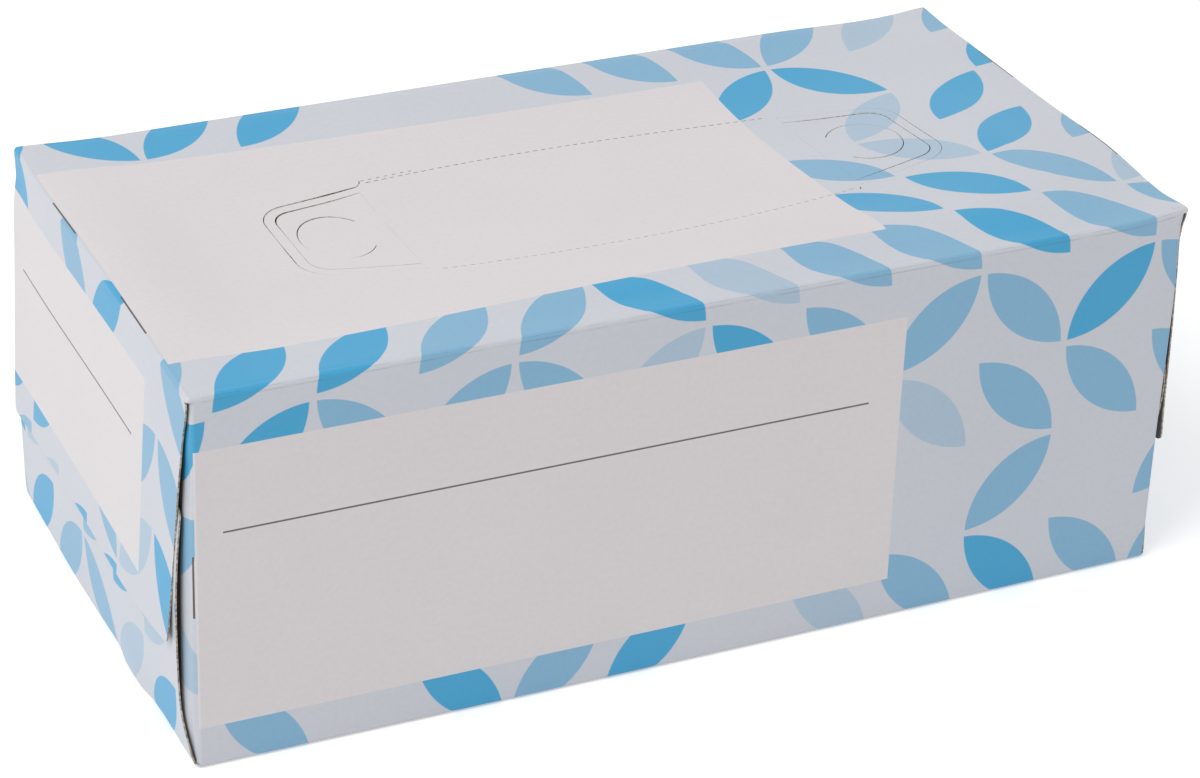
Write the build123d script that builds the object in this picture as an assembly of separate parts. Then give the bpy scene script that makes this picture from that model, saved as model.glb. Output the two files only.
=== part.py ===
from build123d import *
from math import exp
import os

# Carton: length along X, front panel at -Y, top panel at +Z, resting on Z = 0
carton_length = 220.0
carton_width = 114.5
carton_height = 84.2
board = 0.45
fold_radius = 1.3

# How far the inner flaps' folds, at the ends of the front and back, sit behind the outer flaps' folds
inner_flap_inset = 0.4

# Outer end flaps: the lower one folds up from the bottom panel, the upper one comes down over it
flap_length = 61.8
flap_slant_width = 42.0
upper_slant_height = 8.5
lower_slant_height = 2.5
flap_side_gap = 0.8
flap_root = 6.0

# How far each upper flap's free edge stands out of its fold's plane
left_front_bow = 4.8
left_middle_bow = 2.4
left_back_bow = 1.2
right_front_bow = 0.9
right_middle_bow = 1.6
right_back_bow = 0.8
upper_half_way_share = 0.54
lower_half_way_share = 0.55
lower_free_share = 0.25

# Glued patch between the inner flaps, the lower flap and the upper flap
glue_width = 60.0
glue_margin = 5.0

# Sunken top panel: deepest near its middle, more so to the back and right, with a ridge along the front
dish_width = 108.1
dish_length = 188.0
dish_shift_x = -11.4
dish_depth = 3.55
dish_tilt = 2.25
dish_twist = 2.5
twist_distance = 75.0
ridge_height = 2.3
ridge_length = 152.0
ridge_width = 20.0
ridge_x = 5.0
ridge_y = -42.0
dish_step = 6.0
dish_rim = 0.06
dish_tolerance = 0.01
lean_fade_power = 6

# Tear-out in the top panel, and its place from the panel's centre
tear_length = 147.7
tear_width = 48.2
tear_end_width = 30.2
tear_shift_x = 3.8
tear_shift_y = 0.9
tear_corner_radius = 7.5
hinge_crease_distance = 99.4
hinge_crease_width = 40.2
slit_width = 0.3
slit_spacing = 2.5
slit_hook = 2.0
dash_length = 1.1
dash_pitch = 1.9
crease_width = 0.8
crease_depth = 0.15

# Thumb cuts: open ellipses in the two ends of the tear-out
thumb_distance = 122.0
thumb_length = 16.0
thumb_width = 20.0
thumb_open_angle = 72.0

# Short cuts that weaken the end folds
fold_slit_length = 15.5
fold_slit_spacing = 44.5
fold_slit_width = 0.5

# Raw edge of the back panel along its glued bottom seam
seam_height = 1.9
seam_width = 0.3

cut_overrun = 1.0
air_height = 20.0
quarter_bend_share = 1 - 0.5 ** 0.5

half_length = carton_length / 2
inner_flap_plane = half_length - inner_flap_inset
flap_width = carton_width - 2 * flap_side_gap


def filled_tube():
    """Panels, inner flaps and contents: a block rounded at its long folds and at its upright folds."""
    section = Pos(0, carton_height / 2) * RectangleRounded(carton_width, carton_height, fold_radius)
    plan = RectangleRounded(2 * inner_flap_plane, carton_width, fold_radius)
    lengthways = extrude(Plane.YZ * section, amount=half_length, both=True)
    upright = extrude(plan, amount=carton_height)
    return lengthways & upright


def flank(fold_x, level, half_way_bow, free_bow, inset):
    """Line of an outer flap from its fold to past its free edge, set inwards by inset."""
    reach = flap_length + cut_overrun
    start = (fold_x - inset, level(fold_radius))
    half_way = (fold_x - inset + half_way_bow, level(flap_length / 2))
    free = (fold_x - inset + free_bow, level(reach))
    return Spline(start, half_way, free)


def flap_section(fold_x, level, half_way_bow, free_bow):
    """Lengthways section of an outer flap with its fold, one board thick."""
    outer = flank(fold_x, level, half_way_bow, free_bow, 0)
    inner = flank(fold_x, level, half_way_bow, free_bow, board)
    inner_radius = fold_radius - board
    outer_bend = ThreePointArc(
        (fold_x - fold_radius, level(0)),
        (fold_x - fold_radius * quarter_bend_share, level(fold_radius * quarter_bend_share)),
        outer @ 0,
    )
    inner_bend = ThreePointArc(
        (fold_x - fold_radius, level(board)),
        (
            fold_x - board - inner_radius * quarter_bend_share,
            level(board + inner_radius * quarter_bend_share),
        ),
        inner @ 0,
    )
    root_x = fold_x - flap_root
    root = Polyline(outer_bend @ 0, (root_x, level(0)), (root_x, level(board)), inner_bend @ 0)
    return make_face([outer, outer_bend, root, inner_bend, inner, Line(outer @ 1, inner @ 1)])


def fill_section(fold_x, level, half_way_bow, free_bow):
    """Section of the space between the inner flaps and the middle of the upper flap's board."""
    outer = flank(fold_x, level, half_way_bow, free_bow, board / 2)
    back_x = fold_x - flap_root
    start = outer @ 0
    free = outer @ 1
    rest = Polyline(start, (back_x, start.Y), (back_x, free.Y), free)
    return make_face([outer, rest])


def across(section_at, bows):
    """Carries a section from the front edge over the middle to the back edge of an end."""
    side = flap_width / 2 + cut_overrun
    stations = zip((-side, 0, side), bows)
    return loft([Plane.XZ.offset(-y) * section_at(bow) for y, bow in stations])


def end_prism(outline):
    """Carries an outline seen from the end along X, through everything at the right end."""
    start = Plane.YZ.offset(half_length - 2 * flap_root)
    return extrude(start * outline, amount=4 * flap_root, dir=(1, 0, 0))


def flap_outline(level, slant_height):
    """End view of an outer flap: straight sides and a free edge that slants back to both of them."""
    side = flap_width / 2
    middle = side - flap_slant_width
    shoulder = level(flap_length - slant_height)
    root = level(-cut_overrun)
    free = level(flap_length)
    return make_face(
        Polyline(
            (-side, root),
            (side, root),
            (side, shoulder),
            (middle, free),
            (-middle, free),
            (-side, shoulder),
            close=True,
        )
    )


def end_closure(bows):
    """Lower flap, upper flap and the glued patch between them, at the right end."""
    upper_fold = half_length + board

    def from_top(distance):
        return carton_height - distance

    def from_bottom(distance):
        return distance

    def upper(bow):
        return flap_section(upper_fold, from_top, upper_half_way_share * bow, bow)

    def lower(bow):
        return flap_section(half_length, from_bottom, lower_half_way_share * bow, lower_free_share * bow)

    def fill(bow):
        return fill_section(upper_fold, from_top, upper_half_way_share * bow, bow)

    glue_height = 2 * flap_length - carton_height - 2 * glue_margin
    patch = Pos(0, carton_height / 2) * Rectangle(glue_width, glue_height)
    upper_flap = across(upper, bows) & end_prism(flap_outline(from_top, upper_slant_height))
    lower_flap = across(lower, bows) & end_prism(flap_outline(from_bottom, lower_slant_height))
    glue = across(fill, bows) & end_prism(patch)
    return [upper_flap, lower_flap, glue]


def sunk_height(x, y):
    """Height of the sunken top panel's surface, above the flat panel where it doesn't reach."""
    along = 1 - (abs(x - dish_shift_x) / (dish_length / 2)) ** 3
    side_share = y / (dish_width / 2)
    end_fade = 1 - (abs(x) / half_length) ** lean_fade_power
    lean = (dish_tilt + dish_twist * x / twist_distance) * side_share * end_fade
    depth = (dish_depth * along + lean) * (1 - side_share ** 2)
    if abs(side_share) > 1:
        depth = -abs(depth)
    ridge_along = ((x - ridge_x) / (ridge_length / 2)) ** 2
    ridge_across = ((y - ridge_y) / (ridge_width / 2)) ** 2
    ridge = ridge_height * exp(-ridge_along - ridge_across)
    return carton_height + dish_rim - depth + ridge


def places(reach):
    """Evenly spread places from one edge of the top panel to the other."""
    count = round(2 * reach / dish_step)
    return [reach * (2 * index / count - 1) for index in range(count + 1)]


def open_air():
    """Space above the top panel, down to its flat rim and its sunken surface."""
    columns = places(inner_flap_plane)
    rows = places(carton_width / 2)
    points = [[Vector(x, y, sunk_height(x, y)) for y in rows] for x in columns]
    surface = Face.make_surface_from_array_of_points(points, tol=dish_tolerance)
    sunken = Solid.extrude(surface, Vector(0, 0, air_height))
    flat = Pos(0, 0, carton_height + air_height / 2) * Box(2 * carton_length, 2 * carton_width, air_height)
    return flat + sunken


def slit(path):
    """Deep cut along a line drawn on the top panel."""
    top = Plane.XY.offset(carton_height)
    return extrude(top * trace(path, slit_width), amount=air_height / 2, both=True)


def tear_end(spread):
    """Line round the right end of the tear-out, spread outwards from its inner slit."""
    corner_x = tear_length / 2 - slit_spacing + spread
    corner_y = tear_end_width / 2 - slit_spacing + spread
    start_x = hinge_crease_distance / 2
    start_y = hinge_crease_width / 2 - slit_spacing + spread
    return FilletPolyline(
        (start_x, start_y),
        (corner_x, corner_y),
        (corner_x, -corner_y),
        (start_x, -start_y),
        radius=tear_corner_radius - slit_spacing + spread,
    )


def tear_hook(side):
    """Short hook that leads the outer slit's end out to the line of dashes."""
    start = (hinge_crease_distance / 2, side * hinge_crease_width / 2)
    return JernArc(start, (-1, 0), slit_hook, -90 * side)


def dashes(side):
    """Row of short cuts along one bowed side of the tear-out."""
    reach = hinge_crease_distance / 2 - slit_hook
    end_y = side * (hinge_crease_width / 2 + slit_hook)
    row = ThreePointArc((-reach, end_y), (0, side * tear_width / 2), (reach, end_y))
    count = int((row.length - dash_length) / dash_pitch)
    margin = (row.length - (count - 1) * dash_pitch) / 2
    middles = [margin + index * dash_pitch for index in range(count)]
    spans = [(at - dash_length / 2, at + dash_length / 2) for at in middles]
    return [slit(Line(row @ (a / row.length), row @ (b / row.length))) for a, b in spans]


def tear_half():
    """Slits, hooks and thumb cut of the right half of the tear-out."""
    thumb = EllipticalCenterArc(
        (thumb_distance / 2, 0),
        thumb_length / 2,
        thumb_width / 2,
        start_angle=180 + thumb_open_angle / 2,
        arc_size=360 - thumb_open_angle,
    )
    lines = [tear_end(0), tear_end(slit_spacing), thumb, tear_hook(1), tear_hook(-1)]
    return [slit(line) for line in lines]


def hinge_crease():
    """Deep band along the crease on which the right end of the tear-out folds up."""
    crease_length = hinge_crease_width - 2 * slit_spacing
    return Pos(hinge_crease_distance / 2, 0, carton_height) * Box(crease_width, crease_length, air_height)


def fold_slits():
    """Short cuts along the folds of the end flaps and inner flaps, at the right end."""
    edge_x = half_length + board - fold_radius
    flap_cut = Box(fold_slit_width, fold_slit_length, 2 * board)
    inner_cut = Box(fold_slit_width, 2 * board, fold_slit_length)
    inner_x = inner_flap_plane - fold_radius
    cuts = []
    for side in (-1, 1):
        for level in (0, carton_height):
            cuts.append(Pos(edge_x, side * fold_slit_spacing / 2, level) * flap_cut)
        cuts.append(Pos(inner_x, side * carton_width / 2, carton_height / 2) * inner_cut)
    return cuts


def seam():
    """Line of the back panel's raw edge, just above its glued bottom fold."""
    groove = Box(2 * inner_flap_plane - 2 * fold_radius, 2 * board, seam_width)
    return Pos(0, carton_width / 2, seam_height) * groove


def carton():
    """Whole sealed carton as one solid."""
    right_end = end_closure((right_front_bow, right_middle_bow, right_back_bow))
    left_end = end_closure((left_front_bow, left_middle_bow, left_back_bow))
    closed = filled_tube() + right_end + [mirror(piece, about=Plane.YZ) for piece in left_end]
    air = open_air()
    place = Pos(tear_shift_x, tear_shift_y)
    half = tear_half()
    tear = half + [mirror(cut, about=Plane.YZ) for cut in half] + dashes(1) + dashes(-1)
    board_cut = Pos(0, 0, -board) * air
    cuts = [place * cut & board_cut for cut in tear]
    crease_cut = Pos(0, 0, -crease_depth) * air
    crease = hinge_crease()
    cuts += [place * band & crease_cut for band in (crease, mirror(crease, about=Plane.YZ))]
    slits = fold_slits()
    cuts += slits + [mirror(cut, about=Plane.YZ) for cut in slits]
    return closed - air - cuts - seam()


os.makedirs("parts", exist_ok=True)
export_step(carton(), "parts/sealed_carton.step")
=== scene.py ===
"""Looks of a sealed tissue carton.

One printed board blank is folded round its contents and glued shut at both ends.
"""

import logging
import math
from dataclasses import dataclass, field
from enum import Enum
from typing import Dict, List, Optional, Sequence, Tuple, Union

import bmesh
import bpy
import numpy as np
from mathutils import Matrix, Vector


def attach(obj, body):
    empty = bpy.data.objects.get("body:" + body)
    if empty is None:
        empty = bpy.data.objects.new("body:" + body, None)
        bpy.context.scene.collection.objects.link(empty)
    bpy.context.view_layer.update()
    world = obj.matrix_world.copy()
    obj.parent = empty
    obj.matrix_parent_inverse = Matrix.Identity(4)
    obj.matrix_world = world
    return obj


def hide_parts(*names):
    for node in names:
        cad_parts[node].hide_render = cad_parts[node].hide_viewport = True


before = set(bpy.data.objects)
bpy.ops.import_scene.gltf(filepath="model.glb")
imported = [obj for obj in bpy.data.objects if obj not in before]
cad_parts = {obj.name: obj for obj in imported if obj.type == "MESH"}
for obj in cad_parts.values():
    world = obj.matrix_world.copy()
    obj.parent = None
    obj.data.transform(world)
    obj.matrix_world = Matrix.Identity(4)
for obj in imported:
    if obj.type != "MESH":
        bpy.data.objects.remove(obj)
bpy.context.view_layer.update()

LOG = logging.getLogger("carton")
MM = 0.001
TINY = 1e-6
BODY = "root"
NODE = "sealed_carton"
PIECE = "carton_board"
BLANK_MAP = "blank"
BLANK_SCALE = 100.0

Pair = Tuple[float, float]
Point = Tuple[float, float, float]
Colour = Tuple[float, float, float]
Shares = Tuple[float, ...]
Input = Union[bpy.types.NodeSocket, float]


class End(Enum):
    """The carton's two short ends, each with the sign of its X direction."""

    LEFT = -1
    RIGHT = 1


class BoardSide(Enum):
    """The board's three surfaces, in the order of the piece's material slots."""

    PRINT = 0
    INSIDE = 1
    EDGE = 2


@dataclass(frozen=True)
class CartonSizes:
    """Sizes of the folded carton, in millimetres, in the row frame.

    The folds allow for the whole board, and the sheet that is drawn is a little thinner. The places of the
    short cuts are spans of distances from their fold lines.
    """

    length: float = 220.0
    width: float = 114.5
    height: float = 84.2
    board: float = 0.45
    sheet: float = 0.34
    glue_film: float = 0.05
    bend: float = 1.0
    reach: float = 3.2
    fold_cells: Tuple[int, int] = (3, 3)
    inner_inset: float = 0.4
    flap_length: float = 61.8
    flap_tip: float = 1.2
    flap_corner: float = 10.0
    inner_flap_length: float = 42.0
    # The inner flaps' painted shade starts this far past their folds, runs this far past their free edges and
    # keeps this margin inside the walls.
    gap_shade_start: float = 4.8
    gap_shade_overrun: float = 1.0
    gap_shade_margin: float = 0.1
    glue_flap_length: float = 16.0
    fold_slit_near: float = 14.5
    fold_slit_far: float = 30.0
    inner_slit_low: float = 35.0
    inner_slit_high: float = 49.0
    fold_cut: Pair = (0.97, 0.5)
    inner_cut: Pair = (0.05, 0.4)

    @property
    def half_width(self) -> float:
        """Half of the carton's depth from front to back."""
        return self.width / 2

    @property
    def glue_inset(self) -> float:
        """How far the glue flap along the back lies inside the back wall's outer face."""
        return self.board + self.glue_film

    @property
    def upper_fold(self) -> float:
        """Distance from the middle to the upper end flaps' fold line."""
        return self.length / 2 + self.board

    @property
    def lower_fold(self) -> float:
        """Distance from the middle to the lower end flaps' fold line."""
        return self.length / 2

    @property
    def inner_fold(self) -> float:
        """Distance from the middle to the inner end flaps' fold line."""
        return self.length / 2 - self.inner_inset

    @property
    def panel_end(self) -> float:
        """Distance from the middle to where the end folds' own rows start on the top and bottom."""
        return self.upper_fold - self.reach

    @property
    def panel_side(self) -> float:
        """Distance from the middle to where the long folds' own rows start on the top and bottom."""
        return self.half_width - self.reach

    def end_rows(self, fold: float) -> np.ndarray:
        """Distances from the middle of the rows between the panel's end and the bend of an end fold.

        Args:
            fold: Distance from the middle to the fold line.

        Returns:
            Growing distances, the last one where the bend starts.
        """
        inner = self.inner_fold - self.bend
        return even_places((self.panel_end, inner, fold - self.bend), self.fold_cells)


@dataclass(frozen=True)
class Fold:
    """A right-angle crease: two flats joined by a quarter circle, with a shallow score line on each side."""

    bend: float
    score_depth: float = 0.07
    score_place: float = 1.4
    score_width: float = 0.3
    steps: int = 8
    flat_shares: Shares = (0.0, 0.13, 0.27, 0.52, 1.0)

    def bend_rows(self) -> np.ndarray:
        """Signed distances from the fold line of the rows within the bend."""
        return np.linspace(-self.bend, self.bend, self.steps + 1)

    def flat_rows(self, reach: float) -> np.ndarray:
        """Distances from the fold line of the rows between the bend and a given reach.

        Args:
            reach: Distance of the last row.

        Returns:
            Growing distances, the first one where the bend ends.
        """
        return self.bend + (reach - self.bend) * np.array(self.flat_shares)

    def score(self, d: np.ndarray) -> np.ndarray:
        """How far the score lines push the board in: a bell curve of the distance from the fold line.

        Args:
            d: Signed distances from the fold line.

        Returns:
            The push at each distance.
        """
        return self.score_depth * np.exp(-(((np.abs(d) - self.score_place) / self.score_width) ** 2))

    def legs(self, d: np.ndarray) -> Tuple[np.ndarray, np.ndarray]:
        """Distances into the first and the second panel for signed distances from the fold line.

        On a flat the point lies |d| along its panel. Within the bend it lies on a quarter circle whose angle
        grows evenly with d. The score pushes the point inwards by a bell curve of |d|.

        Args:
            d: Signed distances, negative on the first panel.

        Returns:
            The two distances from the sharp corner, along the first panel and along the second.
        """
        turn = np.clip((d / self.bend + 1) / 2, 0, 1) * (math.pi / 2)
        push = self.score(d)
        first = np.where(d < -self.bend, -d, self.bend * (1 - np.sin(turn))) + push * np.sin(turn)
        second = np.where(d > self.bend, d, self.bend * (1 - np.cos(turn))) + push * np.cos(turn)
        return first, second


@dataclass
class Patch:
    """A grid of points in millimetres, their places on the flat blank, and which cells hold board."""

    points: np.ndarray
    blank: np.ndarray
    outward: Point
    keep: Optional[np.ndarray] = None

    def quads(self, start: int) -> np.ndarray:
        """Corner numbers of the cells that hold board, turned so that they face outwards.

        Args:
            start: Number of the grid's first point.

        Returns:
            One row of four point numbers per cell.
        """
        rows, columns = self.points.shape[:2]
        number = start + np.arange(rows * columns).reshape(rows, columns)
        cells = np.stack([number[:-1, :-1], number[:-1, 1:], number[1:, 1:], number[1:, :-1]], axis=-1)
        p = self.points
        normal = np.cross(p[1:, 1:] - p[:-1, :-1], p[1:, :-1] - p[:-1, 1:])
        if float((normal.sum(axis=(0, 1)) * np.array(self.outward)).sum()) < 0:
            cells = cells[..., ::-1]
        return cells.reshape(-1, 4) if self.keep is None else cells[self.keep]


def smooth(value: np.ndarray, low: float, high: float) -> np.ndarray:
    """A soft step from 0 at low to 1 at high.

    Args:
        value: Where the step is read.
        low: Where it starts.
        high: Where it ends.

    Returns:
        The step's height, between 0 and 1.
    """
    t = np.clip((value - low) / (high - low), 0, 1)
    return t * t * (3 - 2 * t)


def through(start: float, middle: float, stop: float, t: np.ndarray) -> np.ndarray:
    """The parabola through three heights at shares 0, a half and 1 of a length.

    Args:
        start: Height at the start.
        middle: Height half way.
        stop: Height at the end.
        t: Shares of the length.

    Returns:
        The parabola's heights.
    """
    return start + t * (4 * middle - 3 * start - stop) + t * t * 2 * (start + stop - 2 * middle)


def even_places(marks: Sequence[float], cells: Sequence[int]) -> np.ndarray:
    """Places spread evenly from each mark to the next.

    Args:
        marks: The places to pass through.
        cells: Number of cells between each mark and the next.

    Returns:
        The places, from the first mark to the last.
    """
    parts = [np.linspace(start, stop, count + 1)[1:] for start, stop, count in zip(marks, marks[1:], cells)]
    return np.concatenate([[marks[0]], *parts])


def grid(*parts: Union[float, np.ndarray]) -> np.ndarray:
    """Coordinates spread over one common grid and joined along a last axis."""
    return np.stack(np.broadcast_arrays(*parts), -1)


def layers(shares: Sequence[float]) -> np.ndarray:
    """Shares of the way from one line of places to another, shaped to give one row of places each."""
    return np.asarray(shares)[:, None, None]


@dataclass(frozen=True)
class TopRelief:
    """The top panel's waviness: a few broad swells that die out at the long folds."""

    sizes: CartonSizes
    sag: float = 3.55
    sag_at: float = -11.4
    sag_half: float = 94.0
    left_lift: float = 1.5
    right_lift: float = 0.7
    lift_reach: float = 22.0
    tilt: float = 2.25
    tilt_gain: float = 0.0333
    ridge: float = 2.3
    ridge_x: float = 5.0
    ridge_half: float = 76.0
    ridge_y: float = -42.0
    ridge_width: float = 10.0
    rim: float = 9.0

    def end_lift(self, end: End, y: np.ndarray) -> np.ndarray:
        """How far an end fold bows up between its two corners, as a parabola across the carton.

        Args:
            end: The end.
            y: Places across the carton.

        Returns:
            The lift at each place.
        """
        lift = self.left_lift if end is End.LEFT else self.right_lift
        return lift * np.clip(1 - (y / self.sizes.panel_side) ** 2, 0, 1)

    def height(self, x: np.ndarray, y: np.ndarray) -> np.ndarray:
        """Height above the flat top.

        Across the carton everything fades to nothing at the long folds. Along it a sag, which shallows with
        the cube of the distance from its middle, joins the lifts of the two end folds. A tilt that grows to
        the right raises the front half and lowers the back half, and a bell-shaped ridge runs behind the
        front fold.

        Args:
            x: Places along the carton.
            y: Places across it.

        Returns:
            The height at each place.
        """
        s = self.sizes
        across = np.clip(1 - (y / s.panel_side) ** 2, 0, 1)
        inner = smooth(s.panel_end - np.abs(x), 0.0, self.lift_reach)
        lift = np.where(x < 0, self.left_lift, self.right_lift)
        sag = self.sag * (1 - (np.abs(x - self.sag_at) / self.sag_half) ** 3)
        level = lift * (1 - inner) - np.maximum(sag, -lift) * inner
        tilt = (self.tilt + self.tilt_gain * x) * inner
        rim = smooth(s.panel_side - np.abs(y), 0.0, self.rim) * inner
        along = ((x - self.ridge_x) / self.ridge_half) ** 2
        bell = np.exp(-along - ((y - self.ridge_y) / self.ridge_width) ** 2)
        return across * (level - tilt * y / s.panel_side) + self.ridge * bell * rim


@dataclass(frozen=True)
class TearOut:
    """The tear-out lid in the top: a dotted line along each side, a double slit and a thumb cut at each end.

    Its outline is worked out for one quarter, about its own middle, and mirrored.
    """

    centre_x: float = 3.8
    centre_y: float = 0.9
    end: float = 73.85
    end_half: float = 15.1
    corner: float = 7.5
    hinge: float = 49.7
    hinge_half: float = 20.1
    hinge_line: Pair = (-0.12, 0.12)
    hinge_strength: float = 0.4
    row_end: float = 46.9
    row_end_half: float = 21.37
    middle_half: float = 24.1
    hook_back: float = 1.6
    hook_out: float = 2.2
    hook_split: float = 0.55
    hook_lean: Pair = (0.35, 0.94)
    spacing: float = 2.5
    pitch: float = 1.9
    dash: float = 1.1
    slit: float = 0.2
    second_row: float = 1.1
    second_reach: float = 12.0
    second_start: float = 0.72
    thumb_at: float = 61.25
    thumb_shift: float = -0.35
    thumb_x: float = 7.9
    thumb_y: float = 10.0
    thumb_open: float = 72.0
    slit_start: float = 0.02
    line_cells: int = 9
    corner_cells: int = 10
    end_cells: int = 4
    hook_cells: int = 5
    fork_cell: int = 2

    def dotted_quarter(self) -> Tuple[np.ndarray, np.ndarray, np.ndarray, np.ndarray]:
        """A quarter's dotted line, an arc from the middle of the long side to a dash just short of the hook.

        Returns:
            Points, outward normals and, per cell, whether the board is cut there and whether it is cut in the
            second, staggered row, which only runs beside the hook.
        """
        rise = self.middle_half - self.row_end_half
        radius = (self.row_end ** 2 + rise ** 2) / (2 * rise)
        span = radius * math.asin(self.row_end / radius)
        nick = (self.pitch - self.dash) / 2
        count = round((span + nick) / self.pitch)
        step = np.array([0.0, self.dash / 2, self.dash])
        along = (nick + np.arange(count)[:, None] * self.pitch + step).ravel()
        along = np.concatenate([[0.0], along * (span / along[-1])])
        turn = along / radius
        normal = np.stack([np.sin(turn), np.cos(turn)], axis=-1)
        points = normal * radius + np.array([0.0, self.middle_half - radius])
        cut = np.tile([False, True, True], count)
        second = ~cut & (along[1:] > span - self.second_reach)
        return points, normal, cut, second

    def hook_at(self, t: float) -> np.ndarray:
        """A point of the hook: out evenly, and back by a square that slows to nothing at the tip.

        Args:
            t: Share of the hook, 0 at the outer slit's end and 1 at the tip.

        Returns:
            The point.
        """
        back = self.hook_back * (1 - (1 - t) ** 2)
        return np.array([self.hinge - back, self.hinge_half + self.hook_out * t])

    def hook_quarter(self, row: np.ndarray) -> Tuple[np.ndarray, np.ndarray]:
        """A quarter's way from its dotted line to the outer slit's end, along the lower part of the hook.

        The fork's cell lies across the hook, whose upper part leaves the line there, so the normals of that
        cell follow the hook up to its tip.

        Args:
            row: The dotted line's last point.

        Returns:
            Points and outward normals, one per cell's end.
        """
        fork = self.hook_at(self.hook_split)
        aside = np.array([self.slit / 2, 0.0])
        points = np.stack([
            row + (fork - row) * self.second_start,
            fork - aside,
            fork + aside,
            self.hook_at(self.hook_split / 2),
            self.hook_at(0.0),
        ])
        lead = self.hook_at(1.0) - fork
        lead = lead / np.linalg.norm(lead)
        out = np.array([0.0, 1.0])
        normal = np.stack([(lead + out) / 2, lead, lead, np.array(self.hook_lean), out])
        return points, normal

    def slit_quarter(self) -> Tuple[np.ndarray, np.ndarray, np.ndarray]:
        """A quarter's double slit: a slanting line, a round corner and half of the end line.

        Returns:
            The outer slit's points, the inner slit's points, and the outward normals of both.
        """
        start = np.array([self.hinge, self.hinge_half])
        tip = np.array([self.end, self.end_half])
        way = (tip - start) / np.linalg.norm(tip - start)
        side = np.array([-way[1], way[0]])
        lean = math.atan2(side[1], side[0])
        tangent = self.corner * math.tan(lean / 2)
        bend_start = tip - way * tangent
        centre = bend_start - side * self.corner
        share = np.linspace(0, 1, self.line_cells)
        share = np.insert(share, 1, self.slit_start)[:, None]
        line = start + (bend_start - start) * share
        inner_start = start - np.array([0.0, self.spacing / side[1]])
        inner_line = inner_start + (bend_start - side * self.spacing - inner_start) * share
        turn = np.linspace(lean, 0, self.corner_cells + 1)[1:]
        round_normal = np.stack([np.cos(turn), np.sin(turn)], axis=-1)
        low = np.linspace(tip[1] - tangent, 0, self.end_cells + 1)[1:]
        end_normal = np.tile([1.0, 0.0], (self.end_cells, 1))
        end_line = np.stack([np.full_like(low, self.end), low], -1)
        outer = np.concatenate([line, centre + self.corner * round_normal, end_line])
        inner = np.concatenate([
            inner_line,
            centre + (self.corner - self.spacing) * round_normal,
            end_line - np.array([self.spacing, 0.0]),
        ])
        normal = np.concatenate([np.tile(side, (self.line_cells + 1, 1)), round_normal, end_normal])
        normal[0] = np.array([0.0, 1.0])
        return outer, inner, normal


def mirrored(quarter: np.ndarray, flip: Tuple[int, int], reverse: bool) -> np.ndarray:
    """A quarter's points or normals mirrored into another quarter.

    Args:
        quarter: One row per point.
        flip: Signs of the two directions.
        reverse: Whether the order turns round.

    Returns:
        The mirrored rows.
    """
    out = quarter * np.array(flip, dtype=float)
    return out[::-1] if reverse else out


def closed_loop(quarter: np.ndarray) -> np.ndarray:
    """A closed outline from its first quarter, which runs from the Y axis to the X axis.

    Args:
        quarter: One row per point.

    Returns:
        One row per point round the outline, the last one equal to the first.
    """
    parts = [
        quarter,
        mirrored(quarter, (1, -1), True)[1:],
        mirrored(quarter, (-1, -1), False)[1:],
        mirrored(quarter, (-1, 1), True)[1:],
    ]
    return np.concatenate(parts)


def half_loop(quarter: np.ndarray) -> np.ndarray:
    """The right half of an outline from its first quarter.

    Args:
        quarter: One row per point, ending on the X axis.

    Returns:
        One row per point, from the upper quarter's start to the lower quarter's.
    """
    return np.concatenate([quarter, mirrored(quarter, (1, -1), True)[1:]])


def loop_cells(quarters: Sequence[np.ndarray]) -> np.ndarray:
    """Flags per cell round a closed outline from the flags of its four quarters.

    Args:
        quarters: One flag per cell, each from the Y axis to the X axis: right back, right front, left front,
            left back.

    Returns:
        One flag per cell round the outline.
    """
    return np.concatenate([quarters[0], quarters[1][::-1], quarters[2], quarters[3][::-1]])


@dataclass(frozen=True)
class Gape:
    """A stretch where a slit stands open, about a place in the lid's plane."""

    place: Pair
    reach: float
    width: float

    def at(self, xy: np.ndarray) -> np.ndarray:
        """The opening, a bell of the distance from its place.

        Args:
            xy: Places about the lid's middle.

        Returns:
            The width at each place.
        """
        return self.width * np.exp(-(((xy - np.array(self.place)) / self.reach) ** 2).sum(axis=-1))


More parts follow.
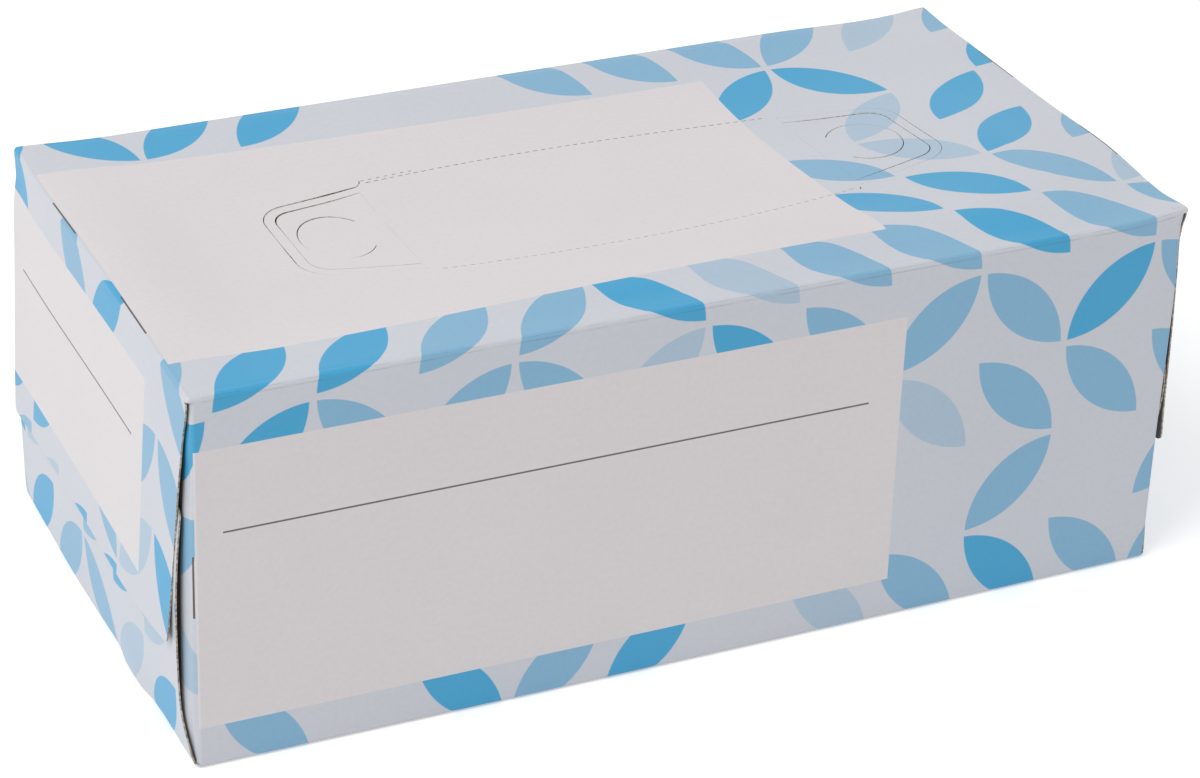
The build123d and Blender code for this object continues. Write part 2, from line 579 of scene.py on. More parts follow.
@dataclass
class TopPanel:
    """The top panel with its tear-out lid, as rings from the lid's outline outwards and inwards."""

    sizes: CartonSizes
    relief: TopRelief
    tear: TearOut
    left_step: Pair = (-0.02, -0.28)
    right_step: Pair = (0.07, -0.1)
    step_ramp: float = 7.0
    step_side: float = 12.0
    thumb_steps: Pair = (-0.16, 0.08)
    side_slits: Pair = (0.14, 0.2)
    slit_ramp: float = 0.4
    strip_shares: Pair = (0.5, 0.0)
    outer_slit: float = 0.02
    inner_slit: float = 0.1
    outer_gapes: Tuple[Gape, ...] = (
        Gape((-53.0, 19.5), 9.0, 0.34),
        Gape((-73.8, 9.0), 5.0, 0.22),
        Gape((-73.8, -5.0), 8.0, 0.2),
        Gape((73.8, -3.0), 14.0, 0.14),
    )
    inner_gapes: Tuple[Gape, ...] = (
        Gape((-71.3, 11.0), 6.0, 0.22),
        Gape((71.3, -9.0), 7.0, 0.16),
    )
    ring_shares: Shares = (0.0, 0.012, 0.04, 0.09, 0.16, 0.25, 0.36, 0.48, 0.6, 0.72, 0.84, 0.93, 1.0)
    rim_shares: Shares = (0.0, 0.12, 0.35, 0.6, 0.85, 1.0)
    thumb_shares: Shares = (1.0, 0.92, 0.75, 0.5, 0.25, 0.0)
    hook_side: Pair = (58.0, 63.0)
    end_cells: Tuple[int, ...] = (4, 3, 3, 4)
    lid_cells: int = 12
    strip_cells: int = 3

    def side_places(self) -> np.ndarray:
        """X places of the panel's grid along a long side, from the middle to the end."""
        dotted = len(self.tear.dotted_quarter()[0]) - 1
        cells = (dotted, self.tear.hook_cells, self.tear.line_cells)
        return even_places((0.0, *self.hook_side, self.sizes.panel_end), cells)

    def end_places(self) -> np.ndarray:
        """Y places of the panel's grid along an end, from the corner to the middle."""
        s = self.sizes
        shoulder = s.half_width - s.bend - s.flap_corner
        return even_places((s.panel_side, shoulder, s.fold_slit_far, s.fold_slit_near, 0.0), self.end_cells)

    def rectangle_quarter(self) -> np.ndarray:
        """A quarter of the panel's rectangle, point by point opposite the lid's outline."""
        x = self.side_places()
        y = self.end_places()[1:]
        side = np.stack([x, np.full_like(x, self.sizes.panel_side)], axis=-1)
        end = np.stack([np.full_like(y, self.sizes.panel_end), y], axis=-1)
        return np.concatenate([side, end])

    def lid_step(self, xy: np.ndarray) -> np.ndarray:
        """How far the lid stands above the panel at its ends: nothing up to the hinge, then a soft ramp.

        Args:
            xy: Places about the lid's middle.

        Returns:
            The step at each place, which goes over from its front to its back height.
        """
        x, back = xy[..., 0], smooth(xy[..., 1], -self.step_side, self.step_side)
        ramp = smooth(np.abs(x), self.tear.hinge, self.tear.hinge + self.step_ramp)
        left = self.left_step[0] + (self.left_step[1] - self.left_step[0]) * back
        right = self.right_step[0] + (self.right_step[1] - self.right_step[0]) * back
        return np.where(x < 0, left, right) * ramp

    def half_slit(self, xy: np.ndarray, base: float, gapes: Sequence[Gape]) -> np.ndarray:
        """Half of a slit's width: even along the lid's sides, and open round its ends only in some stretches.

        Args:
            xy: Places about the lid's middle.
            base: Width round the ends.
            gapes: Stretches that stand open.

        Returns:
            The half width at each place, as a column.
        """
        front, back = self.side_slits
        side = front + (back - front) * smooth(xy[..., 1], -self.step_side, self.step_side)
        past = smooth(np.abs(xy[..., 0]), self.tear.hinge, self.tear.hinge + self.slit_ramp)
        end = base + sum(gape.at(xy) for gape in gapes)
        return (side + (end - side) * past)[..., None] / 2

    def patch(
        self, xy: np.ndarray, rise: Union[float, np.ndarray] = 0.0, keep: Optional[np.ndarray] = None
    ) -> Patch:
        """A patch of the top panel from places in the lid's own plane.

        Args:
            xy: Grid of places about the tear-out's middle.
            rise: Height above the panel's own relief.
            keep: Cells that hold board.

        Returns:
            The patch.
        """
        x = xy[..., 0] + self.tear.centre_x
        y = xy[..., 1] + self.tear.centre_y
        z = self.sizes.height + self.relief.height(x, y) + rise
        return Patch(np.stack([x, y, z], -1), np.stack([x, -y], -1), (0, 0, 1), keep)

    def patches(self) -> List[Patch]:
        """All patches of the top: the panel outside the lid, and the lid's middle, slit strips and ends."""
        tear = self.tear
        dots, dot_normal, dot_cut, dot_second = tear.dotted_quarter()
        hook, hook_normal = tear.hook_quarter(dots[-1])
        outer, inner, slit_normal = tear.slit_quarter()
        slits = np.full(len(outer) - 1, True)
        none = np.full(len(dots) - 1, False)
        number = np.arange(tear.hook_cells)
        closed = np.full(tear.hook_cells, False)
        fork = number == tear.fork_cell
        hooks = (closed, fork, closed, number >= tear.fork_cell)
        cut = loop_cells([np.concatenate([dot_cut, part, slits]) for part in hooks])
        rows = ((none, closed), (none, fork), (none, closed), (dot_second, fork | (number == 0)))
        second = loop_cells([np.concatenate([*parts, ~slits]) for parts in rows])
        branch = loop_cells([np.concatenate([none, part & fork, ~slits]) for part in hooks])
        line = closed_loop(np.concatenate([dots, hook, outer[1:]]))
        normal = closed_loop(np.concatenate([dot_normal, hook_normal, slit_normal[1:]]))
        half = self.half_slit(line, self.outer_slit, self.outer_gapes)
        shifts = (-half, half, tear.second_row - tear.slit / 2, tear.second_row + tear.slit / 2)
        lines = [line + shift * normal for shift in shifts]
        cells = len(dots) - 1 + tear.hook_cells
        turn = (len(line) - 1) // 4
        back = np.concatenate([lines[0][-1 - cells:-1], lines[0][:cells + 1]])
        front = lines[0][2 * turn - cells:2 * turn + cells + 1][::-1]
        centre = np.array([tear.centre_x, tear.centre_y])
        rectangle = closed_loop(self.rectangle_quarter()) - centre
        found = [
            self.patch(np.stack(lines[:2]), keep=~cut[None, :]),
            self.patch(np.stack(lines[1:3]), keep=~branch[None, :]),
            self.patch(np.stack(lines[2:]), keep=~second[None, :]),
            self.patch(lines[3] + (rectangle - lines[3]) * layers(self.ring_shares)),
        ]
        return found + self.lid_patches(front, back, (outer, inner, slit_normal))

    def lid_patches(
        self, front: np.ndarray, back: np.ndarray, slits: Tuple[np.ndarray, np.ndarray, np.ndarray]
    ) -> List[Patch]:
        """The lid's own patches.

        Args:
            front: The lid's front edge, from the left hinge to the right.
            back: The lid's back edge, point by point opposite the front one.
            slits: A quarter's outer slit, its inner slit and the outward normals of both.

        Returns:
            The middle, two slit strips and two ends, each end as rings round its thumb cut.
        """
        outer, inner, normal = slits
        start, cells = inner[0, 1], self.strip_cells
        rows = even_places((back[0, 1], start, -start, front[0, 1]), (cells, self.lid_cells, cells))
        core = rows[cells:-cells]
        across = (rows - front[0, 1]) / (back[0, 1] - front[0, 1])
        found = [self.patch(front + (back - front) * layers(across))]
        taper = np.ones((2 * len(inner) - 1, 1))
        taper[[0, -1]] = 0.0
        outer, inner, normal = half_loop(outer), half_loop(inner), half_loop(normal)
        level = layers(np.linspace(0, 1, cells + 1))
        crease = np.stack([np.full(len(core) - 2, self.tear.hinge), core[-2:0:-1]], -1)
        for sign, share in zip((-1.0, 1.0), self.strip_shares):
            flip = np.array([sign, 1.0])
            gap = self.half_slit(inner * flip, self.inner_slit, self.inner_gapes) * taper
            strip_out = outer - self.half_slit(outer * flip, self.outer_slit, self.outer_gapes) * normal
            strip = strip_out + (inner + gap * normal - strip_out) * level
            rim = inner - gap * normal
            loop = np.concatenate([rim, crease, rim[:1]])
            found.append(self.patch(strip * flip, share * self.lid_step(strip * flip)))
            found.extend(self.end_rings(loop, flip))
        return found

    def end_rings(self, loop: np.ndarray, flip: np.ndarray) -> List[Patch]:
        """One end of the lid as rings: from its rim in to the thumb cut's ellipse, the cut, and the thumb.

        Args:
            loop: The end's closed rim on the right.
            flip: Signs that mirror it to the wanted end.

        Returns:
            Three patches: the rings outside the cut, the uncut stretch of the ellipse, and the thumb.
        """
        tear = self.tear
        centre = np.array([tear.thumb_at + tear.thumb_shift * flip[0], 0.0])
        axes = np.array([tear.thumb_x, tear.thumb_y])
        turn = np.arctan2((loop[:, 1] - centre[1]) / axes[1], (loop[:, 0] - centre[0]) / axes[0])
        ray = np.stack([np.cos(turn), np.sin(turn)], -1)
        half = tear.slit / 2
        outside = centre + ray * (axes + half)
        inside = centre + ray * (axes - half)
        ring = loop + (outside - loop) * layers(self.rim_shares)
        disc = centre + (inside - centre) * layers(self.thumb_shares)
        mid = (turn[1:] + turn[:-1]) / 2
        jump = np.abs(turn[1:] - turn[:-1]) > math.pi
        away = np.where(jump, 0.0, np.degrees(math.pi - np.abs(mid)))
        bridge = np.stack([outside, inside])
        thumb = self.thumb_steps[0] if flip[0] < 0 else self.thumb_steps[1]
        ramp = (centre[0] - tear.thumb_x, centre[0] + tear.thumb_x)
        swing = thumb * smooth(disc[..., 0], *ramp)
        edge_swing = np.stack([0 * inside[:, 0], thumb * smooth(inside[:, 0], *ramp)])
        uncut = (away < tear.thumb_open / 2)[None, :]
        return [
            self.patch(ring * flip, self.lid_step(ring * flip)),
            self.patch(bridge * flip, self.lid_step(bridge * flip) + edge_swing, uncut),
            self.patch(disc * flip, self.lid_step(disc * flip) + swing),
        ]


@dataclass(frozen=True)
class FlapBow:
    """How far an end flap bows out half way down and at its free edge, each at the front, middle and back.

    Where it rests on what lies behind it, it is let in by a bell-shaped depth, or out where that is negative.
    """

    half_way: Point
    free: Point
    rest: Point = (0.0, 0.0, 0.0)
    rest_at: float = 0.18
    rest_reach: float = 0.12
    rest_start: float = 0.06

    def out(self, t: np.ndarray, across: np.ndarray) -> np.ndarray:
        """Outward bow: down the flap a parabola from its fold, whose heights are parabolas across the flap.

        The rest is a bell down the flap, taken off the parabola, that starts from nothing at the fold.

        Args:
            t: Shares of the flap's length from its fold.
            across: Shares of the carton's depth from the front.

        Returns:
            The bow in millimetres.
        """
        half_way = through(*self.half_way, across)
        free = through(*self.free, across)
        bell = np.exp(-(((t - self.rest_at) / self.rest_reach) ** 2)) * smooth(t, 0.0, self.rest_start)
        bow = t * (4 * half_way - free) + t * t * 2 * (free - 2 * half_way)
        return bow - through(*self.rest, across) * bell


@dataclass
class Sleeve:
    """The panels round the contents with their long folds, and the inner flaps that close the ends first."""

    sizes: CartonSizes
    fold: Fold
    top: TopPanel
    end_bows: Dict[End, FlapBow]
    low_row: float = 0.5
    in_share: float = 0.85
    out_share: float = 0.58
    low_share: float = 0.45
    low_reach: float = 20.0
    bow_start: float = 2.2
    wall_cells: Tuple[int, int, int] = (5, 3, 5)
    inner_cells: int = 7

    def columns(self, rows: np.ndarray) -> np.ndarray:
        """X places of the sleeve's columns, the top panel's own with an end fold's rows at both ends.

        Args:
            rows: Distances from the middle of the end fold's rows.

        Returns:
            Growing places from the left end to the right.
        """
        x = np.concatenate([self.top.side_places(), rows[1:]])
        return np.concatenate([-x[::-1], x[1:]])

    def strip(
        self, x: np.ndarray, d: np.ndarray, corner: Point, first: Point, second: Point, line: float
    ) -> Patch:
        """A stretch of a long fold.

        Args:
            x: Places along the fold.
            d: Signed distances from the fold line.
            corner: The sharp corner's place, of which X isn't used.
            first: Direction into the panel where d is negative.
            second: Direction into the other panel.
            line: The fold line's place on the blank.

        Returns:
            The patch, one row per distance.
        """
        a, b = self.fold.legs(d)
        yz = np.array(corner)[None, 1:] + a[:, None] * np.array(first)[1:] + b[:, None] * np.array(second)[1:]
        points = np.empty((len(d), len(x), 3))
        points[..., 0] = x
        points[..., 1:] = yz[:, None, :]
        blank = grid(x[None, :], (line + d)[:, None])
        outward = tuple(-np.array(first) - np.array(second))
        return Patch(points, blank, outward)

    def corner_cap(self, end: End, side: float, rows: np.ndarray, line: float) -> Patch:
        """The rounded corner between a long fold and an end fold of the top or bottom: an eighth of a sphere.

        Its rows run from the pole down and its columns from the long fold round to the end fold.

        Args:
            end: The carton's end.
            side: Sign of the long fold's Y direction.
            rows: The end fold's rows at this edge.
            line: The long fold line's place on the blank, negative for the bottom.

        Returns:
            The patch.
        """
        s = self.sizes
        up = 1.0 if line > 0 else -1.0
        turn = np.linspace(0, math.pi / 2, self.fold.steps + 1)
        ring = turn[None, :]
        down = turn[:, None]
        x = rows[-1] + s.bend * np.sin(down) * np.sin(ring)
        y = s.half_width - s.bend + s.bend * np.sin(down) * np.cos(ring)
        lower = s.bend * (1 - np.cos(down))
        z = s.height - lower if up > 0 else lower
        points = grid(end.value * x, side * y, z)
        arc = 2 * s.bend * down / (math.pi / 2)
        u = end.value * (rows[-1] + arc * np.sin(ring))
        v = -side * (abs(line) + up * (arc * np.cos(ring) - s.bend))
        return Patch(points, grid(u, v), (end.value, side, up))

    def long_fold(
        self, corner: Point, first: Point, second: Point, line: float, rows: np.ndarray, reach: float
    ) -> List[Patch]:
        """A long fold's bend and its strip of the first panel, up to where the end flaps' folds start.

        Args:
            corner: The sharp corner's place.
            first: Direction into the top or bottom panel.
            second: Direction into the front or back panel.
            line: The fold line's place on the blank.
            rows: The end fold's rows at this edge.
            reach: How far the strip reaches into the first panel.

        Returns:
            The strip on the first panel and the bend.
        """
        flat = -self.fold.flat_rows(reach)[::-1]
        return [
            self.strip(self.columns(rows[:1]), flat, corner, first, second, line),
            self.strip(self.columns(rows), self.fold.bend_rows(), corner, first, second, line),
        ]

    def heights(self, low: float) -> np.ndarray:
        """Z places of a wall's rows from the top fold down.

        Args:
            low: The last row's place.

        Returns:
            Falling places, with rows where the inner folds' cuts start and end.
        """
        s = self.sizes
        near = self.fold.flat_rows(s.reach)
        marks = (s.height - s.reach, s.inner_slit_high, s.inner_slit_low, s.reach)
        z = np.concatenate([s.height - near[:-1], even_places(marks, self.wall_cells), near[::-1][1:]])
        return z if low >= s.bend else np.concatenate([z, [low]])

    def wall(self, side: float, low: float) -> List[Patch]:
        """The front or back wall with its two inner flaps.

        Args:
            side: Sign of the wall's Y direction.
            low: Height of its last row.

        Returns:
            The wall's patch and its two flaps' patches.
        """
        s = self.sizes
        rows = s.end_rows(s.upper_fold)
        inner = rows[rows <= s.inner_fold - s.bend + TINY]
        x = self.columns(inner)
        z = self.heights(low)
        v = -side * (s.half_width + s.height - z)
        push = self.fold.score(s.height - z) + (self.fold.score(z) if low >= s.bend else 0.0)
        y = side * (s.half_width - push)
        found = [Patch(grid(x[None, :], y[:, None], z[:, None]), grid(x[None, :], v[:, None]), (0, side, 0))]
        far = np.linspace(s.reach, s.inner_flap_length, self.inner_cells + 1)
        d = np.concatenate([self.fold.bend_rows(), self.fold.flat_rows(s.reach)[1:], far[1:]])
        a, b = self.fold.legs(d)
        fade = np.clip((d + s.bend) / (2 * s.bend), 0, 1)[:, None]
        rise = 1 - np.exp(-np.clip(d, 0, None) / self.bow_start)
        for end in End:
            flap_y = (side * (s.half_width - b))[:, None] - side * push[None, :] * (1 - fade)
            across = (flap_y + s.half_width) / s.width
            t = np.broadcast_to(z[None, :] / s.flap_length, across.shape)
            bow = self.end_bows[end].out(t, across) * rise[:, None]
            share = self.out_share + self.low_share * np.exp(-((z / self.low_reach) ** 2))
            bow = np.where(bow > 0, share * bow, np.where(t > 1, 0.0, self.in_share * bow))
            flap_x = end.value * ((s.inner_fold - a)[:, None] + bow)
            flap_u = end.value * (s.inner_fold + d)
            flap = grid(flap_x, flap_y, z[None, :])
            found.append(Patch(flap, grid(flap_u[:, None], v[None, :]), (end.value, 0, 0)))
        return found

    def bottom_places(self) -> np.ndarray:
        """Y places of the bottom panel's rows between its long folds."""
        half = self.top.end_places()
        return np.concatenate([-half, half[::-1][1:]])

    def patches(self) -> List[Patch]:
        """All patches of the walls, the bottom, the long folds and the glue flap along the back."""
        s = self.sizes
        upper = s.end_rows(s.upper_fold)
        lower = s.end_rows(s.lower_fold)
        front_line = s.half_width
        bottom_line = s.half_width + s.height
        down, up = (0.0, 0.0, -1.0), (0.0, 0.0, 1.0)
        inwards, outwards = (0.0, 1.0, 0.0), (0.0, -1.0, 0.0)
        found = self.wall(-1.0, s.bend) + self.wall(1.0, self.low_row)
        found += self.long_fold((0, -s.half_width, s.height), inwards, down, front_line, upper, s.reach)
        back = self.long_fold((0, s.half_width, s.height), outwards, down, front_line, upper, s.reach)
        low = self.long_fold((0, -s.half_width, 0), inwards, up, -bottom_line, lower, s.reach)
        for patch in back + low:
            patch.blank[..., 1] *= -1
        found += back + low
        for end in End:
            found.append(self.corner_cap(end, -1.0, upper, front_line))
            found.append(self.corner_cap(end, 1.0, upper, front_line))
            found.append(self.corner_cap(end, -1.0, lower, -bottom_line))
        y = self.bottom_places()
        x = self.columns(lower[:1])
        bottom = grid(x[None, :], y[:, None], 0.0)
        blank = grid(x[None, :], (bottom_line + s.half_width + y)[:, None])
        found.append(Patch(bottom, blank, (0, 0, -1)))
        inset = s.glue_inset
        glue = (0, s.half_width - inset, 0)
        glue_line = bottom_line + s.width - inset
        found += self.long_fold(glue, outwards, up, glue_line, lower, s.reach - inset)
        far = self.fold.flat_rows(s.glue_flap_length)
        found.append(self.strip(self.columns(lower), far, glue, outwards, up, glue_line))
        return found


@dataclass
class EndClosure:
    """The upper and lower end flaps of one end, bowed by the contents, the upper one glued over the lower."""

    sizes: CartonSizes
    fold: Fold
    top: TopPanel
    end: End
    upper_bow: FlapBow
    lower_bow: FlapBow
    front_gap: float
    back_gap: float
    fold_gap: float = 0.25
    gap_taper: float = 2.4
    upper_narrow: float = 0.0
    upper_drop: Pair = (5.3, -1.0)
    lower_drop: Pair = (4.4, 2.5)
    straight_half: float = 10.0
    slit_shift: float = 0.0
    lip: float = 0.0
    lip_y: float = -22.0
    lip_half: float = 9.0
    lip_fade: float = 14.0
    slit_rim: float = 50.0
    slit_margin: float = 3.0
    widen_before: float = 0.4
    widen_after: float = 1.0
    flap_cells: int = 18

    def lip_out(self, d: np.ndarray, y: np.ndarray) -> np.ndarray:
        """How far the lower flap's fold slit stands open: a bell across the carton, fading down the flap.

        Args:
            d: Signed distances from the fold line.
            y: Places across the carton.

        Returns:
            The outward lip.
        """
        bell = np.exp(-(((y - self.lip_y) / self.lip_half) ** 4))
        bend = self.sizes.bend
        return self.lip * bell * smooth(d, -bend, bend) * (1 - smooth(d, bend, self.lip_fade))

    def spread(self, y: np.ndarray, d: np.ndarray, narrow: float) -> np.ndarray:
        """Places across the carton once the flap has left its fold: wider up to the gaps, the slits shifted.

        The front gap grows by a soft step from the fold's own gap to the end of its taper, and then evenly.

        Args:
            y: Places across the carton at the fold.
            d: Signed distances from the fold line, one row per distance.
            narrow: How much the front gap grows below its taper.

        Returns:
            The moved places.
        """
        s = self.sizes
        wide = smooth(d, s.bend - self.widen_before, s.bend + self.widen_after)
        gap = self.fold_gap + (self.front_gap - self.fold_gap) * smooth(d, s.bend, self.gap_taper)
        gap = gap + narrow * np.clip((d - self.gap_taper) / (s.flap_length - self.gap_taper), 0, None)
        front = (s.half_width - gap) / -y[0]
        back = (s.half_width - self.back_gap - (s.half_width - s.bend - y[-1])) / y[-1]
        scale = 1 + wide * (np.where(y[None, :] < 0, front, back) - 1)
        rim = self.slit_rim - s.fold_slit_far - self.slit_margin
        middle = smooth(self.slit_rim - np.abs(y), 0.0, rim)
        return y[None, :] * scale + self.slit_shift * middle[None, :] * smooth(d, -s.reach, -s.bend)

    def flap_reach(self, y: np.ndarray, drops: Pair) -> np.ndarray:
        """Length of a flap across the carton: even in the middle, then less by the square of the distance.

        Args:
            y: Places across the carton, growing.
            drops: How much shorter the flap is at its front and at its back.

        Returns:
            The length at each place, with small round tips at both sides.
        """
        s = self.sizes
        slope = np.clip((np.abs(y) - self.straight_half) / (s.half_width - self.straight_half), 0, 1)
        side = s.flap_tip - np.minimum(np.minimum(y - y[0], y[-1] - y), s.flap_tip)
        tip = s.flap_tip - np.sqrt(np.clip(s.flap_tip ** 2 - side ** 2, 0, None))
        return s.flap_length - np.where(y < 0, *drops) * slope ** 2 - tip

    def flap(self, upper: bool) -> Patch:
        """One end flap with its fold.

        Args:
            upper: Whether it hangs from the top panel.

        Returns:
            The patch, one row per distance from the fold. A lower flap's fold slits are left open.
        """
        s = self.sizes
        half = self.top.end_places()
        rows = self.fold.flat_rows(s.reach)
        front = -(s.half_width - rows[:-1])
        inset = 0.0 if upper else s.glue_inset
        back_rows = rows if upper else self.fold.flat_rows(s.reach - inset)
        back = s.half_width - inset - back_rows[:-1]
        y = np.concatenate([front, -half, half[::-1][1:], back[::-1]])
        line = s.upper_fold if upper else s.lower_fold
        d = np.concatenate([s.end_rows(line)[:-1] - line, self.fold.bend_rows(), rows[1:]])
        length = self.flap_reach(y, self.upper_drop if upper else self.lower_drop)
        share = np.linspace(0, 1, self.flap_cells + 1)[1:]
        down = s.reach + (length[None, :] - s.reach) * share[:, None]
        d = np.concatenate([np.repeat(d[:, None], len(y), axis=1), down])
        a, b = self.fold.legs(d)
        bow = self.upper_bow if upper else self.lower_bow
        t = np.clip(d, 0, None) / s.flap_length
        wide = self.spread(y, d, self.upper_narrow if upper else 0.0)
        out = bow.out(t, (wide + s.half_width) / s.width)
        if not upper:
            out = out + self.lip_out(d, wide)
        x = self.end.value * (line - a + out)
        lift = self.top.relief.end_lift(self.end, y)
        z = s.height - b + lift[None, :] if upper else b
        points = np.stack([x, wide, z], -1)
        v = -wide if upper else s.half_width + s.height + s.half_width + wide
        blank = np.stack([self.end.value * (line + d), v], -1)
        keep = np.ones((d.shape[0] - 1, d.shape[1] - 1), dtype=bool)
        middle = np.abs(y[1:] + y[:-1]) / 2
        if not upper:
            keep[len(s.end_rows(line)) - 1] = ~((middle > s.fold_slit_near) & (middle < s.fold_slit_far))
        return Patch(points, blank, (self.end.value, 0, 1.0 if upper else -1.0), keep)

    def patches(self) -> List[Patch]:
        """Both flaps."""
        return [self.flap(True), self.flap(False)]


@dataclass(frozen=True)
class Speckle:
    """Soft noise: its frequency, its octaves, and the ends of the range that it is read or spread over."""

    scale: float
    detail: float
    low: float = 0.0
    high: float = 1.0


@dataclass(frozen=True)
class PrintInks:
    """The print's tints, as linear colours; the bare colour is painted shade, and the cut colour is partly
    painted shade.
    """

    paper: Colour = (0.745, 0.71, 0.72)
    ground: Colour = (0.63, 0.65, 0.705)
    light: Colour = (0.43, 0.56, 0.685)
    medium: Colour = (0.235, 0.465, 0.665)
    strong: Colour = (0.05, 0.38, 0.66)
    rule: Colour = (0.12, 0.12, 0.14)
    # Painted shade: a dark grey put on the inner flaps where they lie in the gap's shade beneath the outer
    # flaps.
    bare: Colour = (0.22, 0.2, 0.18)
    # The cut colour is the board seen in the cut, darkened with painted shade of the open slit.
    cut: Colour = (0.125, 0.085, 0.07)


class NodePen:
    """Adds nodes to one material's tree."""

    def __init__(self, material: bpy.types.Material) -> None:
        """Clears the tree and adds its shader.

        Args:
            material: The material.
        """
        material.use_nodes = True
        self.tree = material.node_tree
        self.tree.nodes.clear()
        self.shader = self.node("ShaderNodeBsdfPrincipled")
        output = self.node("ShaderNodeOutputMaterial")
        self.tree.links.new(self.shader.outputs["BSDF"], output.inputs["Surface"])

    def node(self, kind: str) -> bpy.types.Node:
        """A new node.

        Args:
            kind: Its Blender type.

        Returns:
            The node.
        """
        return self.tree.nodes.new(kind)

    def feed(self, socket: bpy.types.NodeSocket, value: Union[Input, Sequence[float]]) -> None:
        """Links or sets an input.

        Args:
            socket: The input.
            value: An output to link, or a constant.
        """
        if isinstance(value, bpy.types.NodeSocket):
            self.tree.links.new(value, socket)
        else:
            socket.default_value = value

    def math(self, operation: str, *values: Input) -> bpy.types.NodeSocket:
        """A sum on numbers.

        Args:
            operation: Blender's name of it.
            values: Its inputs.

        Returns:
            Its result.
        """
        node = self.node("ShaderNodeMath")
        node.operation = operation
        for socket, value in zip(node.inputs, values):
            self.feed(socket, value)
        return node.outputs[0]

    def vector(self, operation: str, *values: Union[Input, Sequence[float]]) -> bpy.types.NodeSocket:
        """A sum on vectors.

        Args:
            operation: Blender's name of it.
            values: Its inputs.

        Returns:
            Its vector or, for a distance, its number.
        """
        node = self.node("ShaderNodeVectorMath")
        node.operation = operation
        for socket, value in zip(node.inputs, values):
            self.feed(socket, value)
        return node.outputs["Value"] if operation == "DISTANCE" else node.outputs["Vector"]

    def scaled(self, vector: bpy.types.NodeSocket, factor: Input) -> bpy.types.NodeSocket:
        """A vector or a colour times a number.

        Args:
            vector: The vector or colour.
            factor: The number.

        Returns:
            The scaled vector.
        """
        node = self.node("ShaderNodeVectorMath")
        node.operation = "SCALE"
        self.feed(node.inputs[0], vector)
        self.feed(node.inputs["Scale"], factor)
        return node.outputs["Vector"]

    def step(self, value: Input, low: float, high: float) -> bpy.types.NodeSocket:
        """A soft step from 0 to 1.

        Args:
            value: Where it is read.
            low: Where it starts.
            high: Where it ends.

        Returns:
            The step's height.
        """
        node = self.node("ShaderNodeMapRange")
        node.interpolation_type = "SMOOTHSTEP"
        self.feed(node.inputs["Value"], value)
        self.feed(node.inputs["From Min"], low)
        self.feed(node.inputs["From Max"], high)
        return node.outputs["Result"]

    def spread(self, value: Input, low: float, high: float) -> bpy.types.NodeSocket:
        """A number between 0 and 1 spread evenly over a range.

        Args:
            value: The number.
            low: The range's start.
            high: The range's end.

        Returns:
            The spread number.
        """
        node = self.node("ShaderNodeMapRange")
        self.feed(node.inputs["Value"], value)
        self.feed(node.inputs["To Min"], low)
        self.feed(node.inputs["To Max"], high)
        return node.outputs["Result"]

    def mix(
        self, factor: Input, first: Union[Input, Colour], second: Union[Input, Colour]
    ) -> bpy.types.NodeSocket:
        """A mix of two colours.

        Args:
            factor: Share of the second one.
            first: A colour.
            second: A colour.

        Returns:
            The mixed colour.
        """
        node = self.node("ShaderNodeMix")
        node.data_type = "RGBA"
        self.feed(node.inputs[0], factor)
        for socket, value in ((node.inputs[6], first), (node.inputs[7], second)):
            self.feed(socket, value if isinstance(value, bpy.types.NodeSocket) else (*value, 1.0))
        return node.outputs[2]

    def noise(self, vector: bpy.types.NodeSocket, speckle: Speckle) -> bpy.types.NodeSocket:
        """Soft noise between 0 and 1.

        Args:
            vector: Where it is read.
            speckle: Its frequency and octaves.

        Returns:
            The noise.
        """
        node = self.node("ShaderNodeTexNoise")
        self.feed(node.inputs["Vector"], vector)
        self.feed(node.inputs["Scale"], speckle.scale)
        self.feed(node.inputs["Detail"], speckle.detail)
        return node.outputs["Fac"]

    def random(self, vector: bpy.types.NodeSocket, shift: Point) -> bpy.types.NodeSocket:
        """A random number that holds over each whole step of a vector.

        Args:
            vector: The vector.
            shift: Added to it, so that two numbers differ.

        Returns:
            The number, between 0 and 1.
        """
        node = self.node("ShaderNodeTexWhiteNoise")
        self.feed(node.inputs["Vector"], self.vector("ADD", vector, shift))
        return node.outputs["Value"]

    def bump(self, height: bpy.types.NodeSocket, distance: float, strength: float) -> None:
        """Roughens the shader's normal.

        Args:
            height: The relief, between 0 and 1.
            distance: Its depth in metres.
            strength: How much of it shows.
        """
        node = self.node("ShaderNodeBump")
        self.feed(node.inputs["Height"], height)
        self.feed(node.inputs["Distance"], distance)
        self.feed(node.inputs["Strength"], strength)
        self.tree.links.new(node.outputs["Normal"], self.shader.inputs["Normal"])


@dataclass(frozen=True)
class Area:
    """A rectangle on the blank, in millimetres."""

    u: Pair
    v: Pair

    def moved(self, u: float, v: float) -> "Area":
        """The rectangle moved along the carton and round it."""
        return Area((self.u[0] + u, self.u[1] + u), (self.v[0] + v, self.v[1] + v))

    def mask(self, pen: NodePen, u: Input, v: Input) -> bpy.types.NodeSocket:
        """Whether a place lies inside: within half a side of the middle, in both directions.

        Args:
            pen: The material's pen.
            u: The place along the carton.
            v: The place round it.

        Returns:
            1 inside and 0 outside.
        """
        sides = ((u, *self.u), (v, *self.v))
        inside = [pen.math("COMPARE", at, (low + high) / 2, (high - low) / 2) for at, low, high in sides]
        return pen.math("MULTIPLY", *inside)


@dataclass(frozen=True)
class BareField:
    """A bare rectangle in the print, with or without a rule line inside it."""

    area: Area
    rule: Optional[Area] = None


@dataclass(frozen=True)
class CreaseLine:
    """A thin line of painted shade where the board is creased, uneven along its length."""

    area: Area
    strength: float = 1.0


